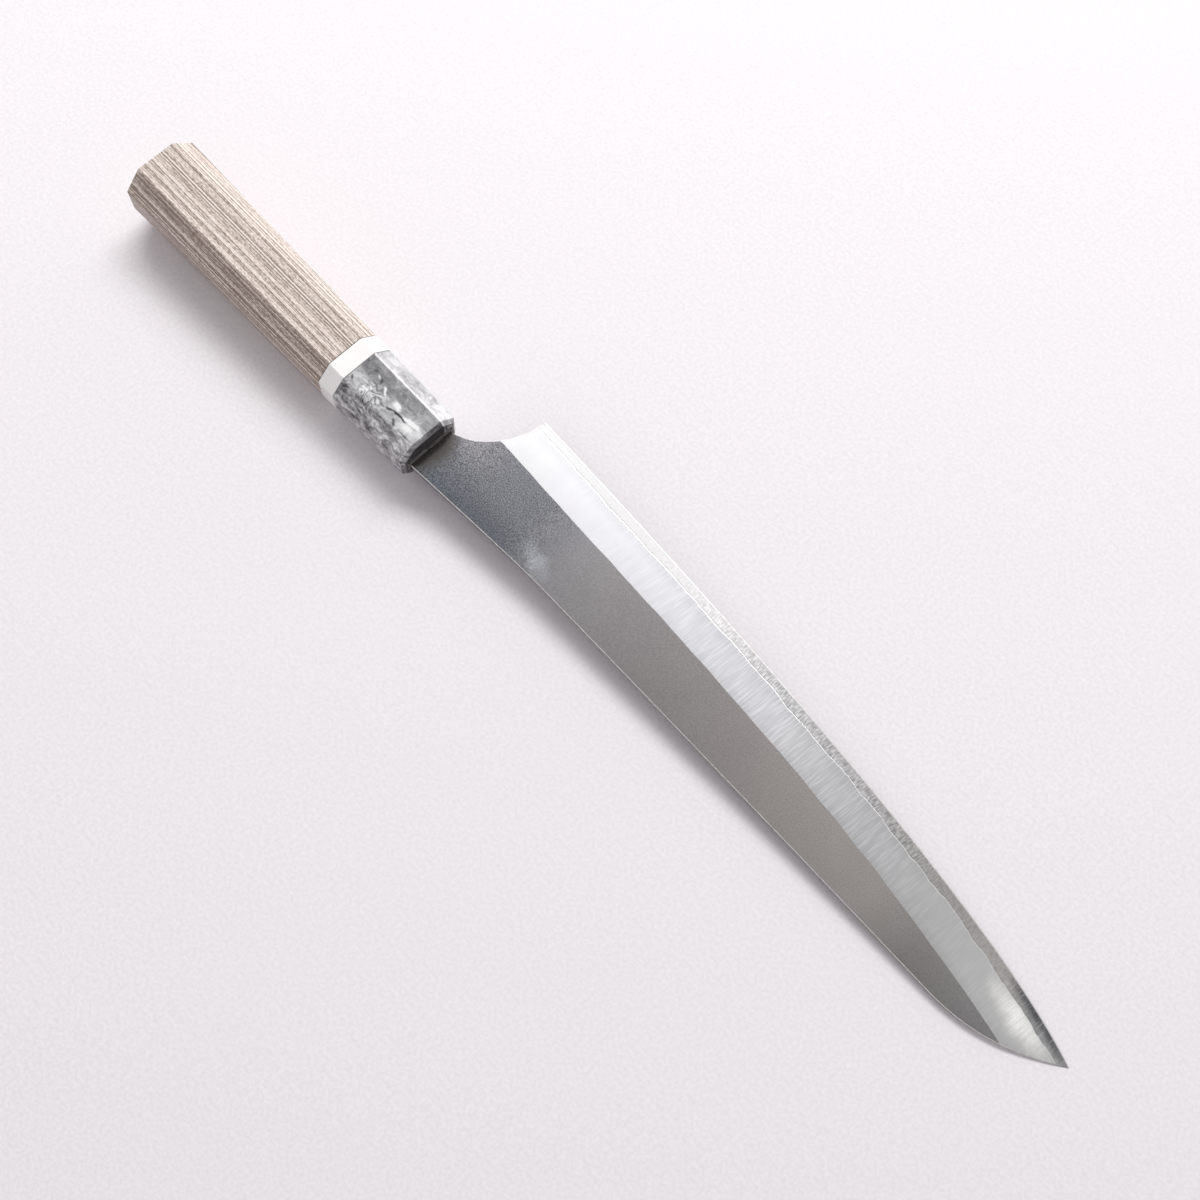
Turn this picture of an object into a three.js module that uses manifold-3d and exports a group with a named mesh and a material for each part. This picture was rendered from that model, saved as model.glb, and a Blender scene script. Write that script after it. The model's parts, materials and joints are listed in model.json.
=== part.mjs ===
// A sujihiki: a long slicing knife with a three-layer blade on an eight-sided wooden handle.
// Millimetres. The knife is drawn lying on its right side: x runs from the front of the ferrule
// to the point, y from the spine to the cutting edge, z up out of the blade's left face.

import * as THREE from "three";
import { mergeVertices } from "three/addons/utils/BufferGeometryUtils.js";
import Module from "manifold-3d";

const wasm = await Module();
wasm.setup();

const { Vector2, Vector3 } = THREE;
const { clamp, lerp, smoothstep } = THREE.MathUtils;

// Handle lengths along its axis
const FERRULE_LENGTH = 31.4;
const RING_LENGTH = 6.6;
const GRIP_LENGTH = 91;
const GLUE_LINE = 0.1;

// Eight-sided handle section, which grows from the mouth to the butt
const MOUTH_WIDTH = 21.8;
const MOUTH_THICKNESS = 18.3;
const MOUTH_CHAMFER = 4.9;
const BUTT_WIDTH = 26.4;
const BUTT_THICKNESS = 22.1;
const BUTT_CHAMFER = 6.2;
const FRONT_BEVEL = 1.4;
const BUTT_BEVEL = 0.8;
const JOINT_BEVEL = 0.25;
const EDGE_EASE = 0.3;

// Dowel that lines up the handle's pieces behind the ferrule's front wall
const FRONT_WALL = 7;
const DOWEL_DIAMETER = 13;
const DOWEL_TAIL = 5;
const DOWEL_CHAMFER = 0.8;
const DOWEL_CLEARANCE = 0.15;

// Tang and neck, forged in one with the blade
const TANG_LENGTH = 72;
const TANG_ROOT_WIDTH = 9;
const TANG_END_WIDTH = 6;
const TANG_CLEARANCE = 0.3;
const SHOULDER_RADIUS = 1.5;
const NECK_SPINE = 8.4;
const NECK_CHOIL = 8;
const NECK_STRAIGHT = 1;
const NECK_SWEEP = 58;

// Resin seal that closes the mouth round the neck
const SEAL_SIDE_WALL = 1.2;
const SEAL_END_WALL = 0.5;
const SEAL_GAP = 0.15;
const SEAL_PROUD = 0.5;
const SEAL_SLOPE = 0.35;

// Side outline of the blade, measured from the handle's axis
const POINT_REACH = 256;
const POINT_DROP = 6.5;
const HEEL_SETBACK = 17.2;
const HEEL_DROP = 31.5;
const BACK_RISE = 5.8;
const NOSE_LENGTH = 42;
const NOSE_RISE = 7;
const BEVEL_SETBACK = 12.9;
const BEVEL_DROP = 17;
const BEVEL_RISE = 6.8;

// Pulls that bend each line of the outline, from its start and from its end
const SWEEP_PULLS = [new Vector2(11, 0.5), new Vector2(-10, 0.3)];
const BACK_PULLS = [new Vector2(50, -0.1), new Vector2(-45, 0.6)];
const NOSE_PULLS = [new Vector2(17, -0.2), new Vector2(-14, -9.3)];
const EDGE_PULLS = [new Vector2(52.5, -1.8), new Vector2(-50, 18.3)];
const BEVEL_PULLS = [new Vector2(83, -4), new Vector2(-82.5, 20)];
const CHOIL_PULLS = [new Vector2(-0.2, -11.3), new Vector2(9.3, 2.8)];

// Blade thicknesses, and the small bevel along the cutting edge
const NECK_THICKNESS = 2.6;
const SPINE_THICKNESS = 2;
const POINT_THICKNESS = 1.24;
const CORE_THICKNESS = 0.5;
const CORE_POINT_THICKNESS = 0.36;
const LAMINATE_GAP = 0.02;
const EDGE_BEVEL = 0.6;
const EDGE_BEVEL_THICKNESS = 0.14;

// Waves of the lamination line, which come from the core's uneven thickness
const LONG_WAVE = 43;
const SHORT_WAVE = 16;
const WAVE_DEPTH = 0.016;

// Fineness of the facets, and how far a cutting body runs past what it cuts
const STATION_STEP = 3;
const CURVE_STEPS = 24;
const ROUND_STEPS = 40;
const OVERCUT = 5;

// Places that follow from these sizes
const HANDLE_LENGTH = FERRULE_LENGTH + RING_LENGTH + GRIP_LENGTH + 2 * GLUE_LINE;
const RING_FRONT = -FERRULE_LENGTH - GLUE_LINE;
const RING_BACK = RING_FRONT - RING_LENGTH;
const GRIP_FRONT = RING_BACK - GLUE_LINE;
const DOWEL_FRONT = -FRONT_WALL - DOWEL_CLEARANCE;
const SLOT_END = -TANG_LENGTH - TANG_CLEARANCE;
const DOWEL_BACK = SLOT_END - DOWEL_TAIL;
const SHOULDER = -FRONT_WALL + SHOULDER_RADIUS + TANG_CLEARANCE;

// A body through a row of like sections that follow one another along x
function loft(sections) {
  const count = sections[0].length;
  const last = (sections.length - 1) * count;
  const index = [];
  for (let row = 0; row < last; row += count) {
    for (let i = 0; i < count; i += 1) {
      const next = (i + 1) % count;
      index.push(row + i, row + next, row + count + next);
      index.push(row + i, row + count + next, row + count + i);
    }
  }
  for (let i = 1; i < count - 1; i += 1) {
    index.push(0, i + 1, i);
    index.push(last, last + i, last + i + 1);
  }
  const geometry = new THREE.BufferGeometry().setFromPoints(sections.flat());
  geometry.setIndex(index);
  return geometry;
}

function toSolid(geometry) {
  const bare = geometry.clone();
  bare.deleteAttribute("normal");
  bare.deleteAttribute("uv");
  const merged = mergeVertices(bare);
  const vertProperties = new Float32Array(merged.attributes.position.array);
  const triVerts = new Uint32Array(merged.index.array);
  return new wasm.Manifold(new wasm.Mesh({ numProp: 3, vertProperties, triVerts }));
}

function toGeometry(solid) {
  const { vertProperties, triVerts } = solid.getMesh();
  const geometry = new THREE.BufferGeometry();
  geometry.setAttribute("position", new THREE.BufferAttribute(vertProperties, 3));
  geometry.setIndex(new THREE.BufferAttribute(triVerts, 1));
  return geometry;
}

function cut(body, ...tools) {
  const rest = tools.reduce((solid, tool) => solid.subtract(toSolid(tool)), toSolid(body));
  return toGeometry(rest);
}

function trim(body, outline) {
  return toGeometry(toSolid(body).intersect(toSolid(outline)));
}

function sectionAt(x, corners) {
  return corners.map(([y, z]) => new Vector3(x, y, z));
}

function circleAt(x, diameter) {
  const turn = (2 * Math.PI) / ROUND_STEPS;
  const angles = Array.from({ length: ROUND_STEPS }, (_, i) => i * turn);
  return sectionAt(x, angles.map((a) => [Math.cos(a) * diameter / 2, Math.sin(a) * diameter / 2]));
}

// A straight bar with flat ends between two places on the axis
function bar(back, front, spineSide, choilSide, thickness) {
  const shape = new THREE.BoxGeometry(front - back, choilSide + spineSide, thickness);
  return shape.translate((front + back) / 2, (choilSide - spineSide) / 2, 0);
}

function rod(back, front, diameter) {
  return loft([circleAt(back, diameter), circleAt(front, diameter)]);
}

function barAt(x, spineSide, choilSide, thickness) {
  const half = thickness / 2;
  return sectionAt(x, [[choilSide, -half], [choilSide, half], [-spineSide, half], [-spineSide, -half]]);
}

// A section whose corners are each cut off at a short way along both sides
function eased(corners, way) {
  return corners.flatMap((corner, i) => {
    const sides = [corners.at(i - 1), corners[(i + 1) % corners.length]];
    return sides.map((end) => corner.clone().add(end.clone().sub(corner).setLength(way)));
  });
}

// The handle's eight-sided section at x, drawn in by an inset all round
function handleAt(x, inset = 0) {
  const share = -x / HANDLE_LENGTH;
  const w = lerp(MOUTH_WIDTH, BUTT_WIDTH, share) / 2 - inset;
  const t = lerp(MOUTH_THICKNESS, BUTT_THICKNESS, share) / 2 - inset;
  const c = lerp(MOUTH_CHAMFER, BUTT_CHAMFER, share) - inset * (2 - Math.SQRT2);
  const choilHalf = [[w - c, -t], [w, c - t], [w, t - c], [w - c, t]];
  const spineHalf = choilHalf.map(([y, z]) => [-y, -z]);
  return eased(sectionAt(x, [...choilHalf, ...spineHalf]), EDGE_EASE);
}

function pulledCurve(start, [startPull, endPull], end) {
  return new THREE.CubicBezierCurve(start, start.clone().add(startPull), end.clone().add(endPull), end);
}

const point = new Vector2(POINT_REACH, POINT_DROP);
const heel = new Vector2(HEEL_SETBACK, HEEL_DROP);
const edgeLine = pulledCurve(heel, EDGE_PULLS, point);
const bevelLine = pulledCurve(
  new Vector2(BEVEL_SETBACK, BEVEL_DROP),
  BEVEL_PULLS,
  new Vector2(POINT_REACH, -BEVEL_RISE),
);

// Height of a line at x; beyond its ends a line runs on level
function heightAt(line, x) {
  let low = 0;
  let high = 1;
  while (high - low > 1e-9) {
    const middle = (low + high) / 2;
    if (line.getPoint(middle).x < x) low = middle;
    else high = middle;
  }
  return line.getPoint(low).y;
}

// Half the blade's thickness above its bevel: a neck that eases off, then an even taper
function bladeHalf(x) {
  const neck = lerp(NECK_THICKNESS, SPINE_THICKNESS, smoothstep(x, 0, NECK_SWEEP));
  const share = clamp((x - NECK_SWEEP) / (POINT_REACH - NECK_SWEEP), 0, 1);
  return (neck + share * (POINT_THICKNESS - SPINE_THICKNESS)) / 2;
}

function coreHalf(x) {
  const along = clamp(x, 0, POINT_REACH);
  const even = lerp(CORE_THICKNESS, CORE_POINT_THICKNESS, along / POINT_REACH) / 2;
  const turn = 2 * Math.PI * along;
  return even + WAVE_DEPTH * (Math.sin(turn / LONG_WAVE) + Math.sin(turn / SHORT_WAVE)) / 2;
}

// The wide bevel at x, and where on it the blade has a given half thickness
function bevelAt(x) {
  const top = heightAt(bevelLine, x);
  const edge = heightAt(edgeLine, x);
  const foot = edge - EDGE_BEVEL;
  const topHalf = bladeHalf(x);
  const footHalf = EDGE_BEVEL_THICKNESS / 2;
  const at = (half) => lerp(foot, top, (half - footHalf) / (topHalf - footHalf));
  return { top, edge, foot, topHalf, footHalf, at };
}

const SPINE_LIMIT = -NECK_SPINE - NOSE_RISE - OVERCUT;

function coreAt(x) {
  const { edge, foot, footHalf, at } = bevelAt(x);
  const half = coreHalf(x);
  const line = at(half);
  const left = [[foot, footHalf], [line, half], [SPINE_LIMIT, half]];
  const right = left.map(([y, z]) => [y, -z]).reverse();
  return sectionAt(x, [...right, [edge, 0], ...left]);
}

function leftCladdingAt(x) {
  const { top, topHalf, at } = bevelAt(x);
  const half = coreHalf(x) + LAMINATE_GAP;
  return sectionAt(x, [[SPINE_LIMIT, half], [at(half), half], [top, topHalf], [SPINE_LIMIT, topHalf]]);
}

function rightCladdingAt(x) {
  return leftCladdingAt(x).map((corner) => new Vector3(x, corner.y, -corner.z)).reverse();
}

// The blade's sections run past its outline at both ends and at the spine, and are trimmed to it
function bladeLoft(layerAt) {
  const stations = [-TANG_LENGTH - OVERCUT];
  for (let x = 0; x < POINT_REACH; x += STATION_STEP) stations.push(x);
  stations.push(POINT_REACH, POINT_REACH + OVERCUT);
  return loft(stations.map(layerAt));
}

function sweepTo(outline, [startPull, endPull], end) {
  const leave = outline.currentPoint.clone().add(startPull);
  const arrive = end.clone().add(endPull);
  outline.bezierCurveTo(leave.x, leave.y, arrive.x, arrive.y, end.x, end.y);
}

// Side view of tang, neck, spine, nose and choil; it passes clear of the cutting edge
function bladeOutline() {
  const outline = new THREE.Shape();
  const root = TANG_ROOT_WIDTH / 2;
  const end = TANG_END_WIDTH / 2;
  const fillet = SHOULDER - SHOULDER_RADIUS;
  const filletHeight = root + SHOULDER_RADIUS;
  const past = point.clone().addScaledVector(NOSE_PULLS[1].clone().normalize(), -OVERCUT);
  outline.moveTo(end - TANG_LENGTH, -end);
  outline.lineTo(fillet, -root);
  outline.absarc(fillet, -filletHeight, SHOULDER_RADIUS, Math.PI / 2, 0, true);
  outline.lineTo(SHOULDER, -NECK_SPINE);
  outline.lineTo(0, -NECK_SPINE);
  sweepTo(outline, SWEEP_PULLS, new Vector2(NECK_SWEEP, -BACK_RISE));
  sweepTo(outline, BACK_PULLS, new Vector2(POINT_REACH - NOSE_LENGTH, -NOSE_RISE));
  sweepTo(outline, NOSE_PULLS, point);
  outline.lineTo(past.x, past.y);
  outline.lineTo(past.x, HEEL_DROP + OVERCUT);
  outline.lineTo(heel.x, HEEL_DROP + OVERCUT);
  outline.lineTo(heel.x, heel.y);
  sweepTo(outline, CHOIL_PULLS, new Vector2(NECK_STRAIGHT, NECK_CHOIL));
  outline.lineTo(SHOULDER, NECK_CHOIL);
  outline.lineTo(SHOULDER, filletHeight);
  outline.absarc(fillet, filletHeight, SHOULDER_RADIUS, 0, -Math.PI / 2, true);
  outline.lineTo(end - TANG_LENGTH, end);
  outline.absarc(end - TANG_LENGTH, 0, end, Math.PI / 2, 1.5 * Math.PI, false);
  const depth = NECK_THICKNESS + OVERCUT;
  const block = new THREE.ExtrudeGeometry(outline, { depth, bevelEnabled: false, curveSegments: CURVE_STEPS });
  return block.translate(0, 0, -depth / 2);
}

function dowelBore(back, front) {
  return rod(back, front, DOWEL_DIAMETER + 2 * DOWEL_CLEARANCE);
}

function ferruleGeometry() {
  const back = -FERRULE_LENGTH;
  const body = loft([
    handleAt(back, JOINT_BEVEL),
    handleAt(back + JOINT_BEVEL),
    handleAt(-FRONT_BEVEL),
    handleAt(0, FRONT_BEVEL),
  ]);
  const ends = SEAL_END_WALL + 2 * SEAL_GAP;
  const thickness = NECK_THICKNESS + 2 * (SEAL_SIDE_WALL + 2 * SEAL_GAP);
  const mouth = bar(-FRONT_WALL - OVERCUT, OVERCUT, NECK_SPINE + ends, NECK_CHOIL + ends, thickness);
  return cut(body, dowelBore(back - OVERCUT, -FRONT_WALL), mouth);
}

function ringGeometry() {
  const body = loft([
    handleAt(RING_BACK, JOINT_BEVEL),
    handleAt(RING_BACK + JOINT_BEVEL),
    handleAt(RING_FRONT - JOINT_BEVEL),
    handleAt(RING_FRONT, JOINT_BEVEL),
  ]);
  return cut(body, dowelBore(RING_BACK - OVERCUT, RING_FRONT + OVERCUT));
}

function gripGeometry() {
  const butt = -HANDLE_LENGTH;
  const body = loft([
    handleAt(butt, BUTT_BEVEL),
    handleAt(butt + BUTT_BEVEL),
    handleAt(GRIP_FRONT - JOINT_BEVEL),
    handleAt(GRIP_FRONT, JOINT_BEVEL),
  ]);
  return cut(body, dowelBore(DOWEL_BACK - DOWEL_CLEARANCE, GRIP_FRONT + OVERCUT));
}

function dowelGeometry() {
  const waist = DOWEL_DIAMETER - 2 * DOWEL_CHAMFER;
  const body = loft([
    circleAt(DOWEL_BACK, waist),
    circleAt(DOWEL_BACK + DOWEL_CHAMFER, DOWEL_DIAMETER),
    circleAt(DOWEL_FRONT - DOWEL_CHAMFER, DOWEL_DIAMETER),
    circleAt(DOWEL_FRONT, waist),
  ]);
  const side = TANG_ROOT_WIDTH / 2 + TANG_CLEARANCE;
  const slot = bar(SLOT_END, DOWEL_FRONT + OVERCUT, side, side, NECK_THICKNESS + 2 * TANG_CLEARANCE);
  return cut(body, slot);
}

function sealGeometry() {
  const ends = SEAL_END_WALL + SEAL_GAP;
  const thickness = NECK_THICKNESS + 2 * (SEAL_SIDE_WALL + SEAL_GAP);
  const collarAt = (x, inset) => {
    return barAt(x, NECK_SPINE + ends - inset, NECK_CHOIL + ends - inset, thickness - 2 * inset);
  };
  const body = loft([collarAt(SHOULDER, 0), collarAt(0, 0), collarAt(SEAL_PROUD, SEAL_SLOPE)]);
  const neckThickness = NECK_THICKNESS + 2 * SEAL_GAP;
  const neck = bar(SHOULDER - OVERCUT, OVERCUT, NECK_SPINE + SEAL_GAP, NECK_CHOIL + SEAL_GAP, neckThickness);
  return cut(body, neck);
}

function finish(color, roughness, metalness) {
  return new THREE.MeshStandardMaterial({ color, roughness, metalness, flatShading: true });
}

function piece(name, geometry, material) {
  const mesh = new THREE.Mesh(geometry, material);
  mesh.name = name;
  return mesh;
}

const outline = bladeOutline();
const knife = new THREE.Group();
knife.add(
  piece("core_steel", trim(bladeLoft(coreAt), outline), finish(0xb4b4b4, 0.3, 1)),
  piece("cladding_left", trim(bladeLoft(leftCladdingAt), outline), finish(0x8f9297, 0.42, 1)),
  piece("cladding_right", trim(bladeLoft(rightCladdingAt), outline), finish(0x8f9298, 0.42, 1)),
  piece("ferrule", ferruleGeometry(), finish(0x8d8c8e, 0.2, 0)),
  piece("spacer_ring", ringGeometry(), finish(0xf6f3ef, 0.25, 0)),
  piece("grip", gripGeometry(), finish(0xa3968c, 0.45, 0)),
  piece("tang_dowel", dowelGeometry(), finish(0xc7a678, 0.7, 0)),
  piece("mouth_seal", sealGeometry(), finish(0x6d727b, 0.3, 0)),
);

// The knife tips forward on the ferrule's lower front edge until the blade meets the table
function restAngle(blade) {
  const ferruleHalf = lerp(MOUTH_THICKNESS, BUTT_THICKNESS, FRONT_BEVEL / HANDLE_LENGTH) / 2;
  const { position } = blade.geometry.attributes;
  let angle = Math.PI / 2;
  for (let i = 0; i < position.count; i += 1) {
    const reach = position.getX(i) + FRONT_BEVEL;
    if (reach > 0) angle = Math.min(angle, Math.atan2(ferruleHalf + position.getZ(i), reach));
  }
  return angle;
}

knife.rotation.y = restAngle(knife.getObjectByName("cladding_right"));
const bounds = new THREE.Box3().setFromObject(knife, true);
const middle = bounds.getCenter(new Vector3());
knife.position.set(-middle.x, -middle.y, -bounds.min.z);

const part = new THREE.Group();
part.add(knife);

export default part;
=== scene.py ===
"""The sujihiki's looks: a laminated blade and an eight-sided handle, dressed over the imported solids."""

import json
import math

import bmesh
import bpy
import numpy as np
from mathutils import Matrix, Vector, noise


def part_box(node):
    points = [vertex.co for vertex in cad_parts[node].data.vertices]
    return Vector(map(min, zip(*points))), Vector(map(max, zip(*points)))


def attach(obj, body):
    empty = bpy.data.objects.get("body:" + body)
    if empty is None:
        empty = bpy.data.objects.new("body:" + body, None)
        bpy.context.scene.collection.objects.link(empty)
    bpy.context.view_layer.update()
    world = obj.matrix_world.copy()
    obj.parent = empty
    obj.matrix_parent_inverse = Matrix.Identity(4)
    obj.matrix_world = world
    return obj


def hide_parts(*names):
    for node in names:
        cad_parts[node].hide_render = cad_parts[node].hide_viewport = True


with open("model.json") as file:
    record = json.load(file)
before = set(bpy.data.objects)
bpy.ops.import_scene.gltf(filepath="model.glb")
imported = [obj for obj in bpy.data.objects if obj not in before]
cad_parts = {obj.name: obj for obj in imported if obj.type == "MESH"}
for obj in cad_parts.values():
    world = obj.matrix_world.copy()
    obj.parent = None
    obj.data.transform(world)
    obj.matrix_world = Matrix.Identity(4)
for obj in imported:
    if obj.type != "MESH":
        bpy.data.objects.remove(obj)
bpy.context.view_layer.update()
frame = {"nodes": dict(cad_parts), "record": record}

# All sizes down to the camera's are in millimetres, in the knife's own frame: x from the ferrule's
# front face to the point, y from the spine to the cutting edge, z out of the blade's left face.
MM = 0.001

# Handle. The mouth's slot is given by its lowest and highest y and its thickness, and the eased
# bevel by shares of its size: how far along the handle, and how far drawn in.
FERRULE_LENGTH = 31.4
RING_LENGTH = 6.6
GRIP_LENGTH = 91.0
GLUE_LINE = 0.1
MOUTH_WIDTH, MOUTH_THICKNESS, MOUTH_CHAMFER = 21.8, 18.3, 4.9
BUTT_WIDTH, BUTT_THICKNESS, BUTT_CHAMFER = 26.4, 22.1, 6.2
FRONT_BEVEL = 1.4
BUTT_BEVEL = 0.8
JOINT_BEVEL = 0.25
EASED_BEVEL = ((0.0, 1.0), (0.06, 0.85), (0.85, 0.06), (1.08, 0.0))
EDGE_ROUND = 0.35
CORNER_TURN = math.radians(45)
BORE_DIAMETER = 13.3
BORE_BACK = -77.45
FRONT_WALL = 7.0
MOUTH_SLOT = (-9.2, 8.8, 5.6)
OVERCUT = 5.0
HANDLE_LENGTH = FERRULE_LENGTH + RING_LENGTH + GRIP_LENGTH + 2 * GLUE_LINE
RING_FRONT = -FERRULE_LENGTH - GLUE_LINE
RING_BACK = RING_FRONT - RING_LENGTH
GRIP_FRONT = RING_BACK - GLUE_LINE

# Blade outline: corners, and the pulls that bend the curves between them
TANG_LENGTH, TANG_ROOT_WIDTH, TANG_END_WIDTH = 72.0, 9.0, 6.0
SHOULDER, SHOULDER_RADIUS = -5.2, 1.5
TANG_ROOT = SHOULDER - SHOULDER_RADIUS
NECK_SPINE, NECK_CHOIL, NECK_STRAIGHT, NECK_SWEEP = 8.4, 8.0, 1.0, 58.0
POINT = (256.0, 6.5)
HEEL = (17.2, 31.5)
BACK = (58.0, -5.8)
NOSE = (214.0, -7.0)
BEVEL_START = (12.9, 17.0)
BEVEL_END = (256.0, -6.8)
SWEEP_PULLS = ((11, 0.5), (-10, 0.3))
BACK_PULLS = ((50, -0.1), (-45, 0.6))
NOSE_PULLS = ((17, -0.2), (-14, -9.3))
EDGE_PULLS = ((52.5, -1.8), (-50, 18.3))
BEVEL_PULLS = ((83, -4), (-82.5, 20))
CHOIL_PULLS = ((-0.2, -11.3), (9.3, 2.8))

# Blade thicknesses, and the small unevenness of the lamination line and the bevel's ridge. A corner
# is rounded by no more than a share of the cladding, and at the spine of the section's height.
NECK_THICKNESS, SPINE_THICKNESS, POINT_THICKNESS = 2.6, 2.0, 1.24
CORE_THICKNESS, CORE_POINT_THICKNESS = 0.5, 0.36
LONG_WAVE, SHORT_WAVE, WAVE_DEPTH = 43.0, 16.0, 0.016
RIPPLE_LENGTH, RIPPLE_DEPTH, RIPPLE_SEED = 5.0, 0.018, 3.7
FINE_LENGTH, FINE_SHARE, FINE_SEED = RIPPLE_LENGTH / 2.3, 0.8, 9.1
RIDGE_LENGTH, RIDGE_WANDER, RIDGE_SEED = 9.0, 0.22, 5.3
EDGE_BEVEL, EDGE_BEVEL_THICKNESS, FOOT_THICKNESS = 0.6, 0.14, 0.07
WELD_GAP = 0.004
LIP_WIDTH, LIP_DROP = 0.13, 0.01
SPINE_ROUND, CHOIL_ROUND = 0.22, 0.2
CLADDING_SHARE, HEIGHT_SHARE = 0.7, 0.3
BEVEL_SOFTNESS = 0.16
LEAST_HEIGHT, LEAST_EDGE, LEAST_TANG = 0.004, 0.002, 0.1

# How finely it is drawn: points on a curve, rows across the blade, stations along it, steps round an
# edge and sides of a bore
CURVE_POINTS = 240
SPINE_ROWS, FLAT_ROWS, BEVEL_ROWS, LIP_ROWS, FOOT_ROWS, CORE_ROWS = 4, 9, 8, 4, 3, 6
TANG_STATIONS, NECK_STATIONS, TIP_STATIONS = 8, 7, 14
TANG_MIDDLE, SHOULDER_TURN = -60.0, 0.2
CHOIL_STRIDE = 3
HEEL_GAP, MIDDLE_STEP, NOSE_STEP = 0.6, 0.8, 0.5
TIP_LENGTH, TIP_GAP = 2.0, 0.02
ARC_STEPS, BORE_SIDES = 3, 48

# Finishing a mesh: points nearer than the merge are joined, corners past the crease stay sharp, and
# large faces weigh more in the smooth shading
BLADE_MERGE, BLADE_CREASE = 0.0015, math.radians(35)
HANDLE_MERGE, HANDLE_CREASE = 0.0005, math.radians(25)
SHADING_WEIGHT = 80

# Which material a strip of the blade's section takes: the core's, and a cladding's in the order of
# its points. The soft ridge adds a strip to the flat and to the bevel, and behind the foot are the
# strips to the core, along it and back to the spine.
HONED, KEEN = range(2)
FLAT, BEVEL, WELD, SPINE = range(4)
BACK_STRIPS = 3
CLADDING_STRIPS = (
    [SPINE] * SPINE_ROWS + [FLAT] * (FLAT_ROWS + 1) + [BEVEL] * (BEVEL_ROWS + 1)
    + [WELD] * LIP_ROWS + [FLAT] * (FOOT_ROWS + BACK_STRIPS)
)

# Patterns and painted light. How the hairlines lean and the painted shade at the neck bows, a painted
# reflection and a painted pearly highlight on the steel (centre, reach, turn), bands in the wood (place,
# half width, lift), some of them painted light and shade, and in the marble its clouds and veins (centre,
# reach, turn, lift) and its folds (centre, reach). A heart is the share of a band or blob that has its
# full lift.
HAIR_LEAN = math.radians(5)
MOUTH_SHADE_BOW = 0.03
PAINTED_GLINT = ((48.5, -1.2, 0.0), (8.5, 4.6, 50.0), -25.0)
PEARL_HIGHLIGHT = ((238.0, 5.8, 0.0), (17.0, 5.6, 50.0), -13.0)
WOOD_LEAN = 0.36
# The three widest bands are painted light and shade: lighter on the right side, darker on the left. The
# dark band at -5.4 is deepened with painted shade.
WOOD_BANDS_AND_SIDE_LIGHT = (
    (-2.2, 0.4, 0.25), (-3.4, 0.3, -0.3), (-5.4, 1.8, -0.36), (-7.7, 0.35, 0.45), (-8.7, 0.9, -0.35),
    (0.7, 0.3, 0.35), (2.1, 0.3, -0.25), (6.2, 0.3, -0.3), (6.7, 0.25, 0.35), (7.4, 0.3, -0.3),
    (4.0, 6.5, 0.06), (13.0, 4.0, 0.16), (-12.5, 3.5, -0.2),
)
BAND_HEART = 0.4
MARBLE = (
    ((-13.9, -0.4, 9.3), (2.7, 1.3, 3.0), -15.0, 0.6),
    ((-6.6, -1.0, 9.2), (5.0, 1.0, 3.0), 4.0, 0.65),
    ((-7.0, -3.2, 9.2), (5.4, 1.7, 3.0), 0.0, 0.28),
    ((-19.9, 0.2, 9.4), (2.7, 0.6, 3.0), -38.0, 0.65),
    ((-24.7, 2.1, 9.5), (1.3, 0.65, 3.0), -20.0, 0.5),
    ((-24.5, -3.6, 9.5), (3.2, 1.3, 3.0), 40.0, 0.25),
    ((-14.6, -2.6, 9.3), (2.6, 0.6, 3.0), 12.0, -0.6),
    ((-11.4, -2.0, 9.3), (2.8, 0.6, 3.0), 6.0, -0.75),
    ((-9.0, -2.1, 9.3), (1.8, 0.5, 3.0), -10.0, -0.55),
    ((-10.7, -4.6, 9.3), (2.0, 0.7, 3.0), -40.0, -0.5),
    ((-17.3, -3.4, 9.4), (1.6, 0.55, 3.0), -5.0, -0.5),
    ((-19.6, -4.0, 9.4), (1.9, 0.6, 3.0), -45.0, -0.5),
    ((-5.0, -5.4, 9.2), (3.8, 0.6, 3.0), 2.0, -0.5),
    ((-22.9, 1.4, 9.4), (1.8, 0.6, 3.0), -55.0, -0.3),
    ((-30.3, -4.0, 9.4), (1.3, 0.6, 3.0), -40.0, -0.5),
)
MARBLE_FOLDS = ((-21.5, -4.0, 8.5), (9.5, 6.5, 7.0))
MARBLE_TURNS = 52.0
BLOB_HEART = 0.15

# Shader nodes: a noise's usual lows and highs and its middle as a colour, the knots of a drawn curve,
# the colour sockets of a Mix node, and the map that gives the bevel's gloss its direction
NOISE_LOW, NOISE_HIGH = 0.3, 0.7
NOISE_MIDDLE = (0.5, 0.5, 0.5)
CURVE_KNOTS = 9
MIX_A, MIX_B, MIX_RESULT = 6, 7, 2
UV_NAME, UV_SPAN = "along", 400.0

# Camera, as fitted to the photograph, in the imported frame. How near and far it sees is in metres.
SIGHT_NEAR, SIGHT_FAR = 0.02, 20.0
CAMERA_AZIMUTH = math.radians(46.67)
CAMERA_ELEVATION = math.radians(70.85)
CAMERA_PLACE = Vector((127.3, -118.0, 482.8)) * MM
CAMERA_LENS = 51.0
SENSOR_WIDTH = 36.0

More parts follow.
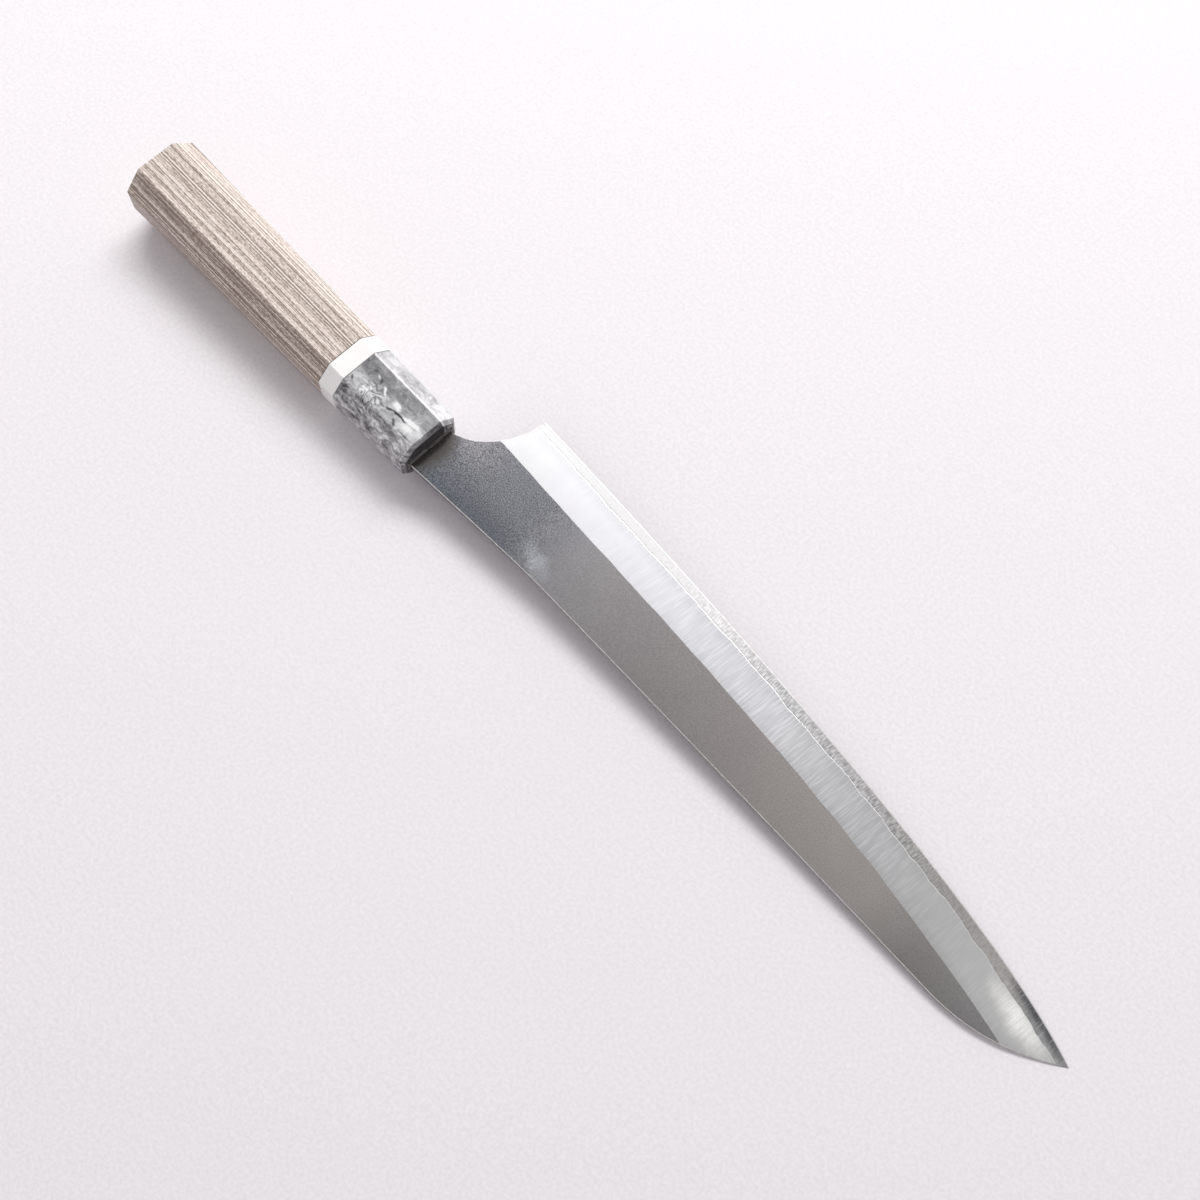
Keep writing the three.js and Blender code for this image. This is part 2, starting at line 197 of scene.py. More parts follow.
# Stage, in metres and watts: a table that curves up into a rim, a softbox and a sky. The sky is
# brightest overhead, and a fill comes from the camera's side.
FLOOR_CENTRE, FLOOR_RADIUS, RIM_RADIUS, RIM_HEIGHT = 0.02, 1.0, 1.8, 0.9
FLOOR_RINGS, RIM_RINGS, FLOOR_SIDES = 10, 12, 96
KEY_HEADING, KEY_FROM_ZENITH = math.radians(9), math.radians(43.3)
KEY_DISTANCE, KEY_WIDTH, KEY_HEIGHT, KEY_POWER = 1.63, 1.5, 0.6, 23.2
SKY_COLOUR = (1.0, 0.992, 1.0, 1.0)
HORIZON, CEILING, NEAR_SIDE = 0.22, 0.505, 0.2
CEILING_FROM, CEILING_TO = 0.6, 0.93
NEAR_SIDE_FROM, NEAR_SIDE_TO = 0.2, 0.6


# The knife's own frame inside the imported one
def mix(a, b, t):
    return a + (b - a) * t


def clamp(value, low=0.0, high=1.0):
    return min(max(value, low), high)


def mount_axis(name):
    mounts = {m["name"]: m for m in frame["record"]["mounts"]}
    return Vector(mounts[name]["axis"])


blade_up = (mount_axis("blade_left_flat") - mount_axis("blade_right_flat")).normalized()
PITCH = math.atan2(blade_up.x, blade_up.z)


def knife_origin():
    """The knife's zero: x from the point, y from the ferrule, and z from its front on the table."""
    ferrule_low, ferrule_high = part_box("ferrule")
    core_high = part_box("core_steel")[1]
    lean = mix(MOUTH_THICKNESS, BUTT_THICKNESS, FRONT_BEVEL / HANDLE_LENGTH) / 2
    return Vector((
        core_high.x - POINT[0] * math.cos(PITCH) * MM,
        (ferrule_low.y + ferrule_high.y) / 2,
        (lean * math.cos(PITCH) - FRONT_BEVEL * math.sin(PITCH)) * MM,
    ))


ORIGIN = knife_origin()
TO_FRAME = Matrix.Translation(ORIGIN) @ Matrix.Rotation(PITCH, 4, "Y") @ Matrix.Scale(MM, 4)


# Shader helpers
def feed(tree, socket, value):
    """Links a socket to another node's output, or sets it to a constant."""
    if isinstance(value, bpy.types.NodeSocket):
        tree.links.new(value, socket)
    else:
        socket.default_value = value


def add(tree, kind, inputs=None, **settings):
    made = tree.nodes.new("ShaderNode" + kind)
    for key, value in settings.items():
        setattr(made, key, value)
    for key, value in (inputs or {}).items():
        feed(tree, made.inputs[key], value)
    return made


def material(name):
    made = bpy.data.materials.new(name)
    made.use_nodes = True
    tree = made.node_tree
    return made, tree, tree.nodes["Principled BSDF"]


def surface(tree, shader, colour, roughness, metallic=0.0):
    feed(tree, shader.inputs["Base Color"], colour)
    feed(tree, shader.inputs["Roughness"], roughness)
    feed(tree, shader.inputs["Metallic"], metallic)


def relief(tree, shader, height, depth):
    """Bumps of the given depth in millimetres."""
    normal = add(tree, "Bump", {"Height": height, "Distance": depth * MM}).outputs["Normal"]
    feed(tree, shader.inputs["Normal"], normal)


def knife_mm(tree):
    """Coordinates in the knife's own frame, in millimetres."""
    place = add(tree, "TexCoord").outputs["Object"]
    inputs = {"Vector": place, "Location": ORIGIN, "Rotation": (0, PITCH, 0), "Scale": (MM, MM, MM)}
    return add(tree, "Mapping", inputs, vector_type="TEXTURE").outputs["Vector"]


def leaning(tree, vector, turn):
    """Coordinates turned in the blade's plane, so that what is stretched next leans with them."""
    return add(tree, "Mapping", {"Vector": vector, "Rotation": (0, 0, turn)}).outputs["Vector"]


def axes(tree, vector):
    split = add(tree, "SeparateXYZ", {"Vector": vector})
    return split.outputs["X"], split.outputs["Y"], split.outputs["Z"]


def grain(tree, vector, scale, detail=2.0, roughness=0.5, distortion=0.0):
    inputs = {
        "Vector": vector, "Scale": scale, "Detail": detail,
        "Roughness": roughness, "Distortion": distortion,
    }
    return add(tree, "TexNoise", inputs).outputs["Fac"]


def strokes(tree, vector, scale, detail=2.0, roughness=0.5, turn=(0, 0, 0), distortion=0.0):
    """Noise with a scale of its own along each axis: a small one draws it out."""
    drawn = add(tree, "Mapping", {"Vector": vector, "Scale": scale, "Rotation": turn}).outputs["Vector"]
    return grain(tree, drawn, 1.0, detail, roughness, distortion)


def grain_1d(tree, value, scale, detail):
    inputs = {"W": value, "Scale": scale, "Detail": detail}
    return add(tree, "TexNoise", inputs, noise_dimensions="1D").outputs["Fac"]


def math_node(tree, operation, *values):
    return add(tree, "Math", dict(enumerate(values)), operation=operation).outputs[0]


def times(tree, a, b):
    return math_node(tree, "MULTIPLY", a, b)


def minus(tree, a, b):
    return math_node(tree, "SUBTRACT", a, b)


def plus(tree, total, *others):
    for other in others:
        total = math_node(tree, "ADD", total, other)
    return total


def remap(tree, value, low, high, to_low=0.0, to_high=1.0, smooth=True):
    inputs = {"Value": value, "From Min": low, "From Max": high, "To Min": to_low, "To Max": to_high}
    kind = "SMOOTHSTEP" if smooth else "LINEAR"
    return add(tree, "MapRange", inputs, interpolation_type=kind).outputs[0]


def spread(tree, value, to_low=0.0, to_high=1.0, smooth=False):
    """A noise over another range, from its usual lows to its usual highs."""
    return remap(tree, value, NOISE_LOW, NOISE_HIGH, to_low, to_high, smooth)


def blend_colour(tree, factor, a, b, kind="MIX"):
    made = add(tree, "Mix", {"Factor": factor}, data_type="RGBA", blend_type=kind)
    for index, value in ((MIX_A, a), (MIX_B, b)):
        feed(tree, made.inputs[index], (*value, 1.0) if isinstance(value, tuple) else value)
    return made.outputs[MIX_RESULT]


def ramp(tree, value, *stops):
    made = add(tree, "ValToRGB", {"Fac": value})
    elements = made.color_ramp.elements
    while len(elements) < len(stops):
        elements.new(0.5)
    for element, (position, colour) in zip(elements, stops):
        element.position = position
        element.color = (*colour, 1.0)
    return made.outputs["Color"]


def along_x(tree, x, *stops):
    """Colours at given places along the knife, blended between them."""
    start, end = stops[0][0], stops[-1][0]
    share = remap(tree, x, start, end, smooth=False)
    return ramp(tree, share, *(((place - start) / (end - start), colour) for place, colour in stops))


def line_height(tree, x, line):
    """Height of a drawn line over each x, as a curve through a few of its points, first and last too."""
    start, end = line[0, 0], line[-1, 0]
    low, high = line[:, 1].min(), line[:, 1].max()
    made = add(tree, "FloatCurve", {"Value": remap(tree, x, start, end, smooth=False)})
    points = made.mapping.curves[0].points
    for share in np.linspace(0, 1, CURVE_KNOTS):
        height = (height_at(line, mix(start, end, share)) - low) / (high - low)
        if share in (0, 1):
            points[-int(share)].location = (share, height)
        else:
            points.new(share, height)
    made.mapping.update()
    return remap(tree, made.outputs[0], 0.0, 1.0, low, high, smooth=False)


def blob(tree, vector, centre, reach, turn=0.0):
    """One round the centre, falling smoothly to nothing at its reach along each axis."""
    turned = (0, 0, math.radians(turn))
    inputs = {"Vector": vector, "Location": centre, "Rotation": turned, "Scale": reach}
    near = add(tree, "Mapping", inputs, vector_type="TEXTURE").outputs["Vector"]
    far = add(tree, "VectorMath", {0: near}, operation="LENGTH").outputs["Value"]
    return remap(tree, far, 1.0, BLOB_HEART)


def bent(tree, vector, scale, amount):
    """Coordinates pushed about by a slow noise."""
    push = add(tree, "TexNoise", {"Vector": vector, "Scale": scale, "Detail": 2.0}).outputs["Color"]
    push = add(tree, "VectorMath", {0: push, 1: NOISE_MIDDLE}, operation="SUBTRACT").outputs[0]
    push = add(tree, "VectorMath", {0: push, "Scale": amount}, operation="SCALE").outputs[0]
    return add(tree, "VectorMath", {0: vector, 1: push}, operation="ADD").outputs[0]


# Materials
def satin_flat():
    """Blasted flat of the blade, coarser near the neck, and darker and bluer there as painted reflection.
    """
    made, tree, shader = material("satin_flat")
    place = knife_mm(tree)
    x, y, _ = axes(tree, place)
    coarse = grain(tree, place, 2.6, 1.0, 0.6)
    fine = grain(tree, place, 5.0)
    cloud = grain(tree, place, 0.05, 3.0, 0.55)
    neck = remap(tree, x, 58.0, 34.0)
    spine = times(tree, remap(tree, x, 47.0, 33.0), remap(tree, y, 5.0, -6.0))
    choil = times(tree, remap(tree, x, 24.0, 8.0), remap(tree, y, 3.0, 10.0))
    # Painted reflection: the flat's colour changes along the blade with the brightness of the studio it
    # mirrors.
    base = along_x(
        tree, x,
        (24.0, (0.333, 0.338, 0.368)),
        (36.0, (0.327, 0.332, 0.361)),
        (44.0, (0.385, 0.388, 0.418)),
        (57.0, (0.48, 0.465, 0.478)),
        (108.0, (0.465, 0.435, 0.43)),
        (156.0, (0.555, 0.515, 0.49)),
        (186.0, (0.56, 0.52, 0.495)),
        (204.0, (0.41, 0.39, 0.38)),
        (232.0, (0.405, 0.395, 0.395)),
    )
    # Painted reflection across the blade: lighter towards the bevel, and more so near the point.
    slope = remap(tree, y, -7.0, 17.0, 0.9, 1.13, smooth=False)
    drift = spread(tree, cloud, 0.96, 1.04)
    base = blend_colour(tree, 1.0, base, times(tree, slope, drift), "MULTIPLY")
    nose = remap(tree, y, -7.0, 2.5, 0.92, 1.08, smooth=False)
    base = blend_colour(tree, remap(tree, x, 188.0, 204.0), base, nose, "MULTIPLY")
    # Painted shade at the neck: darker and bluer by the spine, a little lighter by the choil.
    base = blend_colour(tree, spine, base, (0.225, 0.24, 0.272))
    base = blend_colour(tree, choil, base, (0.44, 0.43, 0.458))
    # Painted reflection: a soft bluish bright spot on the flat near the heel.
    painted_glint = blob(tree, bent(tree, place, 0.22, 7.0), *PAINTED_GLINT)
    base = blend_colour(tree, times(tree, painted_glint, 0.75), base, (0.68, 0.70, 0.755))
    rubbed = remap(tree, neck, 0.0, 1.0, 0.22, 1.0)
    base = blend_colour(tree, rubbed, base, spread(tree, coarse, 0.45, 1.55), "MULTIPLY")
    # Painted shade and painted reflection: the flat darkens to brown by the ferrule's mouth, its edge
    # bowed.
    ragged = plus(tree, x, spread(tree, cloud, -1.0, 1.0))
    bowed = math_node(tree, "MULTIPLY_ADD", times(tree, y, y), MOUTH_SHADE_BOW, ragged)
    mouth_shade = remap(tree, bowed, 9.0, 3.0, 0.0, 0.85)
    base = blend_colour(tree, mouth_shade, base, (0.15, 0.135, 0.12))
    surface(tree, shader, base, spread(tree, fine, 0.17, 0.205, smooth=True), metallic=1.0)
    height = times(tree, coarse, remap(tree, neck, 0.0, 1.0, 0.25, 1.0))
    relief(tree, shader, plus(tree, height, times(tree, fine, 0.15)), 0.005)
    return made


def along_blade(tree, shader, amount):
    """Stretches the gloss along the blade, as hairlines across it do."""
    tangent = add(tree, "Tangent", direction_type="UV_MAP", uv_map=UV_NAME).outputs[0]
    feed(tree, shader.inputs["Anisotropic"], amount)
    feed(tree, shader.inputs["Tangent"], tangent)


def brushed_bevel():
    """Wide bevel: hairlines across it towards the edge, painted reflection, and a painted pearly
    highlight near the point.
    """
    made, tree, shader = material("brushed_bevel")
    place = knife_mm(tree)
    x, y, _ = axes(tree, place)
    lean = leaning(tree, place, HAIR_LEAN)
    hair = strokes(tree, lean, (2.9, 0.14, 0.4), 0.0)
    streak = strokes(tree, lean, (0.5, 0.06, 0.2))
    # Painted reflection: the bevel's colour changes along the blade, held down at the heel where it
    # mirrors the softbox.
    base = along_x(
        tree, x,
        (20.0, (0.365, 0.363, 0.372)),
        (44.0, (0.475, 0.47, 0.485)),
        (84.0, (0.575, 0.57, 0.595)),
        (132.0, (0.625, 0.62, 0.64)),
        (168.0, (0.572, 0.57, 0.58)),
        (204.0, (0.605, 0.60, 0.605)),
        (226.0, (0.685, 0.685, 0.68)),
    )
    ridge = minus(tree, y, line_height(tree, x, bevel_line))
    edge = minus(tree, line_height(tree, x, edge_line), y)
    # A hazy band along the weld, with painted shade across the bevel: darker by the weld short of the
    # point, and darker by the ridge past the heel.
    weld_haze_and_shade = remap(tree, x, 185.0, 205.0, 0.92, 1.0)
    base = blend_colour(tree, remap(tree, edge, 7.5, 4.0), base, weld_haze_and_shade, "MULTIPLY")
    shade = remap(tree, x, 60.0, 110.0, 1.0, 0.92)
    base = blend_colour(tree, remap(tree, ridge, 3.0, 0.3), base, shade, "MULTIPLY")
    # Painted highlight: a pearly bright patch near the point, threaded with the hairlines.
    pearl_highlight = blob(tree, bent(tree, place, 0.2, 4.0), *PEARL_HIGHLIGHT)
    spark = grain(tree, place, 1.8, 3.0, 0.65)
    spark = remap(tree, spark, 0.38, 0.62, 0.75, 1.0)
    thread = times(tree, remap(tree, hair, 0.35, 0.65, 0.8, 1.0), spark)
    base = blend_colour(tree, times(tree, pearl_highlight, thread), base, (1.0, 1.0, 0.96))
    lines = times(tree, remap(tree, hair, 0.42, 0.74, 0.97, 1.13), spread(tree, streak, 0.975, 1.025))
    worn_in = remap(tree, x, 40.0, 130.0, 0.15, 1.0)
    worn_out = remap(tree, x, 170.0, 205.0, 1.0, 0.35)
    base = blend_colour(tree, times(tree, worn_in, worn_out), base, lines, "MULTIPLY")
    gloss = remap(tree, hair, 0.25, 0.75, 0.295, 0.315)
    surface(tree, shader, base, math_node(tree, "MULTIPLY_ADD", pearl_highlight, 0.1, gloss), metallic=1.0)
    along_blade(tree, shader, 0.69)
    relief(tree, shader, hair, 0.0006)
    return made


def honed_core():
    """Hard core steel along the edge, scratched near the point; painted reflection: bright at the heel,
    dark near the point.
    """
    made, tree, shader = material("honed_core")
    place = knife_mm(tree)
    x, y, _ = axes(tree, place)
    lean = leaning(tree, place, HAIR_LEAN)
    scratch = strokes(tree, lean, (2.7, 0.6, 0.9), 0.0)
    # Painted reflection: the core's colour changes along the blade with the brightness of the studio it
    # mirrors.
    base = along_x(
        tree, x,
        (20.0, (0.335, 0.333, 0.333)),
        (48.0, (0.40, 0.395, 0.395)),
        (96.0, (0.53, 0.522, 0.523)),
        (130.0, (0.47, 0.464, 0.469)),
        (200.0, (0.42, 0.406, 0.40)),
        (230.0, (0.52, 0.50, 0.485)),
        (240.0, (0.36, 0.36, 0.365)),
        (248.0, (0.46, 0.46, 0.46)),
        (256.0, (0.56, 0.555, 0.545)),
    )
    worn_in = remap(tree, x, 55.0, 140.0, 0.06, 1.0)
    worn_out = remap(tree, x, 180.0, 198.0, 1.0, 0.45)
    lines = spread(tree, scratch, 0.76, 1.24)
    base = blend_colour(tree, times(tree, worn_in, worn_out), base, lines, "MULTIPLY")
    # Painted shade: a dark patch along the edge near the point.
    edge = minus(tree, line_height(tree, x, edge_line), y)
    nose = times(tree, remap(tree, x, 226.0, 234.0), remap(tree, x, 247.0, 259.0, 1.0, 0.2))
    shade = times(tree, remap(tree, edge, 2.9, 1.0), nose)
    base = blend_colour(tree, shade, base, (0.42, 0.425, 0.45), "MULTIPLY")
    # Real hairlines near the point, lightened with a painted highlight.
    cross = strokes(tree, lean, (1.7, 0.12, 1.0), 2.0, 0.6)
    bright = times(tree, remap(tree, cross, 0.52, 0.68), remap(tree, x, 222.0, 234.0))
    base = blend_colour(tree, times(tree, bright, 0.5), base, (0.62, 0.61, 0.60))
    surface(tree, shader, base, spread(tree, scratch, 0.35, 0.41, smooth=True), metallic=1.0)
    relief(tree, shader, scratch, 0.001)
    return made


def polished_line(name, dull, clean):
    """Narrow worn or polished strip of steel."""
    made, tree, shader = material(name)
    nick = strokes(tree, knife_mm(tree), (1.3, 0.6, 0.6), 3.0, 0.6)
    base = blend_colour(tree, remap(tree, nick, 0.35, 0.65), dull, clean)
    surface(tree, shader, base, spread(tree, nick, 0.32, 0.42, smooth=True), metallic=1.0)
    relief(tree, shader, nick, 0.002)
    return made


def veneer_wood():
    """Straight-grained stained wood: its layers lean a little, so lines run along every face."""
    made, tree, shader = material("veneer_wood")
    place = knife_mm(tree)
    _, y, z = axes(tree, place)
    sway = strokes(tree, place, (0.018, 0.2, 0.05))
    pore = strokes(tree, place, (0.9, 2.8, 2.8), 1.0, 0.6)
    fleck = strokes(tree, place, (0.06, 1.9, 1.9), 2.0, 0.6)
    drift = strokes(tree, place, (0.02, 0.3, 0.12))
    layer = math_node(tree, "MULTIPLY_ADD", z, WOOD_LEAN, y)
    layer = plus(tree, layer, remap(tree, sway, 0.2, 0.8, -0.2, 0.2, smooth=False))
    veneer = grain_1d(tree, layer, 2.3, 0.3)
    season = grain_1d(tree, layer, 0.55, 1.0)
    tone = plus(
        tree, spread(tree, veneer),
        spread(tree, season, -0.16, 0.16),
        spread(tree, pore, -0.4, 0.4),
        spread(tree, drift, -0.15, 0.15),
        remap(tree, fleck, 0.56, 0.68, 0.0, -0.3),
        remap(tree, fleck, 0.42, 0.3, 0.0, 0.2),
    )
    # Bands of the wood, the widest of them painted light and shade by side.
    for middle, half, lift in WOOD_BANDS_AND_SIDE_LIGHT:
        off = math_node(tree, "ABSOLUTE", minus(tree, layer, middle))
        tone = plus(tree, tone, remap(tree, off, half, half * BAND_HEART, 0.0, lift))
    base = ramp(
        tree, tone,
        (0.0, (0.225, 0.172, 0.138)),
        (0.3, (0.405, 0.33, 0.28)),
        (0.55, (0.56, 0.472, 0.42)),
        (0.8, (0.69, 0.60, 0.54)),
        (1.0, (0.82, 0.74, 0.68)),
    )
    surface(tree, shader, base, spread(tree, pore, 0.55, 0.42, smooth=True))
    relief(tree, shader, plus(tree, pore, veneer), 0.01)
    return made


def white_acrylic():
    """White ring: clouded, glossy, and greyed where it is glued at both ends."""
    made, tree, shader = material("white_acrylic")
    place = knife_mm(tree)
    x, _, _ = axes(tree, place)
    cloud = spread(tree, grain(tree, place, 0.35, 3.0, 0.55), smooth=True)
    base = blend_colour(tree, cloud, (0.95, 0.935, 0.92), (0.975, 0.963, 0.95))
    off = math_node(tree, "ABSOLUTE", minus(tree, x, (RING_FRONT + RING_BACK) / 2))
    glue = remap(tree, off, RING_LENGTH / 2 - JOINT_BEVEL, RING_LENGTH / 2, 0.0, 0.7)
    base = blend_colour(tree, glue, base, (0.30, 0.29, 0.285))
    rub = strokes(tree, place, (0.6, 4.0, 4.0))
    surface(tree, shader, base, spread(tree, rub, 0.16, 0.26, smooth=True))
    relief(tree, shader, rub, 0.0015)
    return made


def marbled_resin():
    """Poured resin: grey clouds, white wisps, folded swirls, a few black veins, and painted light and
    shade.
    """
    made, tree, shader = material("marbled_resin")
    place = knife_mm(tree)
    x, y, _ = axes(tree, place)
    folded = bent(tree, place, 0.16, 7.0)
    near = bent(tree, place, 0.35, 1.3)
    cloud = strokes(tree, folded, (0.12, 0.18, 0.18), 3.0, 0.55)
    wisp = strokes(tree, folded, (0.28, 0.9, 0.7), 3.0, 0.6, turn=(0.3, 0.2, 0.5))
    fold = grain(tree, folded, 0.2, 1.5)
    lower = remap(tree, y, 2.5, -2.0, 0.41, 0.58)
    # Painted light and shade by side: the left side darker, a painted highlight along the top's right
    # corner, the right side lighter.
    left = remap(tree, y, -5.0, -7.0, 0.0, -0.05)
    corner = remap(tree, y, 5.7, 5.95, 0.0, 0.56)
    right = remap(tree, y, 6.25, 6.8, 0.0, -0.3)
    front = remap(tree, x, -13.0, -3.0, 0.0, 0.1)
    tone = plus(tree, lower, left, corner, right, front, spread(tree, cloud, -0.2, 0.2))
    for centre, reach, turn, lift in MARBLE:
        tone = plus(tree, tone, times(tree, blob(tree, near, centre, reach, turn), lift))
    lines = math_node(tree, "SINE", times(tree, fold, MARBLE_TURNS))
    zone = math_node(tree, "MAXIMUM", blob(tree, near, *MARBLE_FOLDS), 0.2)
    tone = math_node(tree, "MULTIPLY_ADD", times(tree, lines, 0.23), zone, tone)
    edge = remap(tree, y, -5.0, -7.0, 0.12, 0.42)
    tone = math_node(tree, "MULTIPLY_ADD", spread(tree, wisp, -1.0, 1.0), edge, tone)
    # Painted shade: the front bevel darker, and the front face darker still, where the mouth faces away
    # from the light.
    tone = minus(tree, tone, remap(tree, x, -1.5, -1.2, 0.0, 0.28))
    tone = minus(tree, tone, remap(tree, x, -0.25, -0.05, 0.0, 0.5))
    base = ramp(
        tree, tone,
        (0.0, (0.035, 0.035, 0.037)),
        (0.2, (0.15, 0.15, 0.156)),
        (0.42, (0.29, 0.288, 0.297)),
        (0.65, (0.50, 0.498, 0.51)),
        (0.85, (0.74, 0.74, 0.745)),
        (1.0, (0.90, 0.90, 0.90)),
    )
    rub = grain(tree, place, 1.5)
    surface(tree, shader, base, spread(tree, rub, 0.1, 0.18, smooth=True))
    relief(tree, shader, rub, 0.002)
    return made


def cured_resin():
    """Dark, uneven resin that closes the ferrule's mouth."""
    made, tree, shader = material("cured_resin")
    cloud = grain(tree, knife_mm(tree), 0.5, 3.0)
    share = spread(tree, cloud, smooth=True)
    base = blend_colour(tree, share, (0.055, 0.050, 0.046), (0.15, 0.14, 0.13))
    surface(tree, shader, base, spread(tree, cloud, 0.22, 0.4, smooth=True))
    relief(tree, shader, cloud, 0.05)
    return made


def bare_wood():
    """Plain pale wood of the dowel inside the handle."""
    made, tree, shader = material("bare_wood")
    ring = strokes(tree, knife_mm(tree), (0.03, 0.9, 0.5), 3.0, 0.6, distortion=0.4)
    share = spread(tree, ring, smooth=True)
    base = blend_colour(tree, share, (0.62, 0.45, 0.28), (0.78, 0.62, 0.43))
    surface(tree, shader, base, spread(tree, ring, 0.75, 0.6, smooth=True))
    relief(tree, shader, ring, 0.05)
    return made


def pale_paper():
    """Faintly mottled paper on the table, with its noise scaled in metres."""
    made, tree, shader = material("pale_paper")
    place = add(tree, "TexCoord").outputs["Object"]
    fibre = grain(tree, place, 900.0, 4.0, 0.6)
    share = spread(tree, fibre, smooth=True)
    base = blend_colour(tree, share, (0.845, 0.809, 0.832), (0.914, 0.879, 0.901))
    patch = spread(tree, grain(tree, place, 6.0), 0.0, 0.2, smooth=True)
    base = blend_colour(tree, patch, base, (0.868, 0.835, 0.866))
    surface(tree, shader, base, 0.9)
    feed(tree, shader.inputs["Specular IOR Level"], 0.2)
    relief(tree, shader, fibre, 0.06)
    return made


# Building meshes
def new_object(name, vertices, faces, materials=(), face_materials=None):
    mesh = bpy.data.meshes.new(name)
    mesh.from_pydata([TO_FRAME @ Vector(v) for v in vertices], [], faces)
    for look in materials:
        mesh.materials.append(look)
    if face_materials is not None:
        mesh.polygons.foreach_set("material_index", face_materials)
    along = mesh.uv_layers.new(name=UV_NAME)
    flat = [(vertices[v][0] / UV_SPAN, vertices[v][1] / UV_SPAN) for face in faces for v in face]
    along.data.foreach_set("uv", [value for pair in flat for value in pair])
    made = bpy.data.objects.new(name, mesh)
    bpy.context.scene.collection.objects.link(made)
    return made


def tidy_mesh(piece, merge, crease):
    """Joins doubled points, drops faces of no area, and sets smooth shading with sharp corners."""
    shape = bmesh.new()
    shape.from_mesh(piece.data)
    bmesh.ops.remove_doubles(shape, verts=shape.verts, dist=merge * MM)
    bmesh.ops.dissolve_degenerate(shape, edges=shape.edges, dist=merge * MM)
    bmesh.ops.recalc_face_normals(shape, faces=shape.faces)
    shape.to_mesh(piece.data)
    shape.free()
    piece.data.shade_smooth()
    piece.data.set_sharp_from_angle(angle=crease)
    weighted = piece.modifiers.new("even_shading", "WEIGHTED_NORMAL")
    weighted.keep_sharp = True
    weighted.weight = SHADING_WEIGHT
    return piece


def loft(sections, strips=None):
    """Faces between like closed sections, with flat ends. Returns points, faces, face materials."""
    count = len(sections[0])
    points = [p for section in sections for p in section]
    faces, kinds = [], []
    for row in range(len(sections) - 1):
        for i in range(count):
            j = (i + 1) % count
            a, b = row * count, (row + 1) * count
            faces.append((a + i, a + j, b + j, b + i))
            kinds.append(strips[i] if strips else 0)
    faces.append(tuple(reversed(range(count))))
    faces.append(tuple(range((len(sections) - 1) * count, len(sections) * count)))
    kinds += [0, 0]
    return points, faces, kinds


# Blade
def bezier(start, pulls, end):
    start, end = np.array(start, float), np.array(end, float)
    leave, arrive = start + np.array(pulls[0]), end + np.array(pulls[1])
    t = np.linspace(0, 1, CURVE_POINTS)[:, None]
    s = 1 - t
    return s ** 3 * start + 3 * t * s ** 2 * leave + 3 * t ** 2 * s * arrive + t ** 3 * end


spine_line = np.vstack([
    bezier((0, -NECK_SPINE), SWEEP_PULLS, BACK),
    bezier(BACK, BACK_PULLS, NOSE)[1:],
    bezier(NOSE, NOSE_PULLS, POINT)[1:],
])
edge_line = bezier(HEEL, EDGE_PULLS, POINT)
bevel_line = bezier(BEVEL_START, BEVEL_PULLS, BEVEL_END)
choil_line = bezier(HEEL, CHOIL_PULLS, (NECK_STRAIGHT, NECK_CHOIL))[::-1]


def height_at(line, x):
    return float(np.interp(x, line[:, 0], line[:, 1]))


def smoothstep(t):
    t = clamp(t)
    return t * t * (3 - 2 * t)


def wander(x, length, seed):
    """Slow, even unrest along the blade, to either side of zero."""
    return noise.noise((x / length, seed, 0.0))


def tang_half(x):
    share = clamp((TANG_ROOT - x) / (TANG_LENGTH + TANG_ROOT))
    half = mix(TANG_ROOT_WIDTH, TANG_END_WIDTH, share) / 2
    rise = x - TANG_ROOT
    if rise > 0:
        half += SHOULDER_RADIUS - math.sqrt(max(SHOULDER_RADIUS ** 2 - rise ** 2, 0))
    end = TANG_END_WIDTH / 2
    back = x + TANG_LENGTH - end
    if back < 0:
        half = math.sqrt(max(end ** 2 - back ** 2, LEAST_TANG ** 2))
    return half


def spine_at(x, tang):
    if tang:
        return -tang_half(x)
    return -NECK_SPINE if x < 0 else height_at(spine_line, x)


def foot_at(x, tang):
    if tang:
        return tang_half(x)
    if x < NECK_STRAIGHT:
        return NECK_CHOIL
    return height_at(choil_line, x) if x < HEEL[0] else height_at(edge_line, x)


def blade_half(x):
    neck = mix(NECK_THICKNESS, SPINE_THICKNESS, smoothstep(x / NECK_SWEEP))
    share = clamp((x - NECK_SWEEP) / (POINT[0] - NECK_SWEEP))
    return (neck + share * (POINT_THICKNESS - SPINE_THICKNESS)) / 2


def core_half(x):
    along = clamp(x, 0.0, POINT[0])
    even = mix(CORE_THICKNESS, CORE_POINT_THICKNESS, along / POINT[0]) / 2
    turn = 2 * math.pi * along
    wave = WAVE_DEPTH * (math.sin(turn / LONG_WAVE) + math.sin(turn / SHORT_WAVE)) / 2
    ripple = wander(along, RIPPLE_LENGTH, RIPPLE_SEED)
    ripple += FINE_SHARE * wander(along, FINE_LENGTH, FINE_SEED)
    return even + wave + RIPPLE_DEPTH * ripple


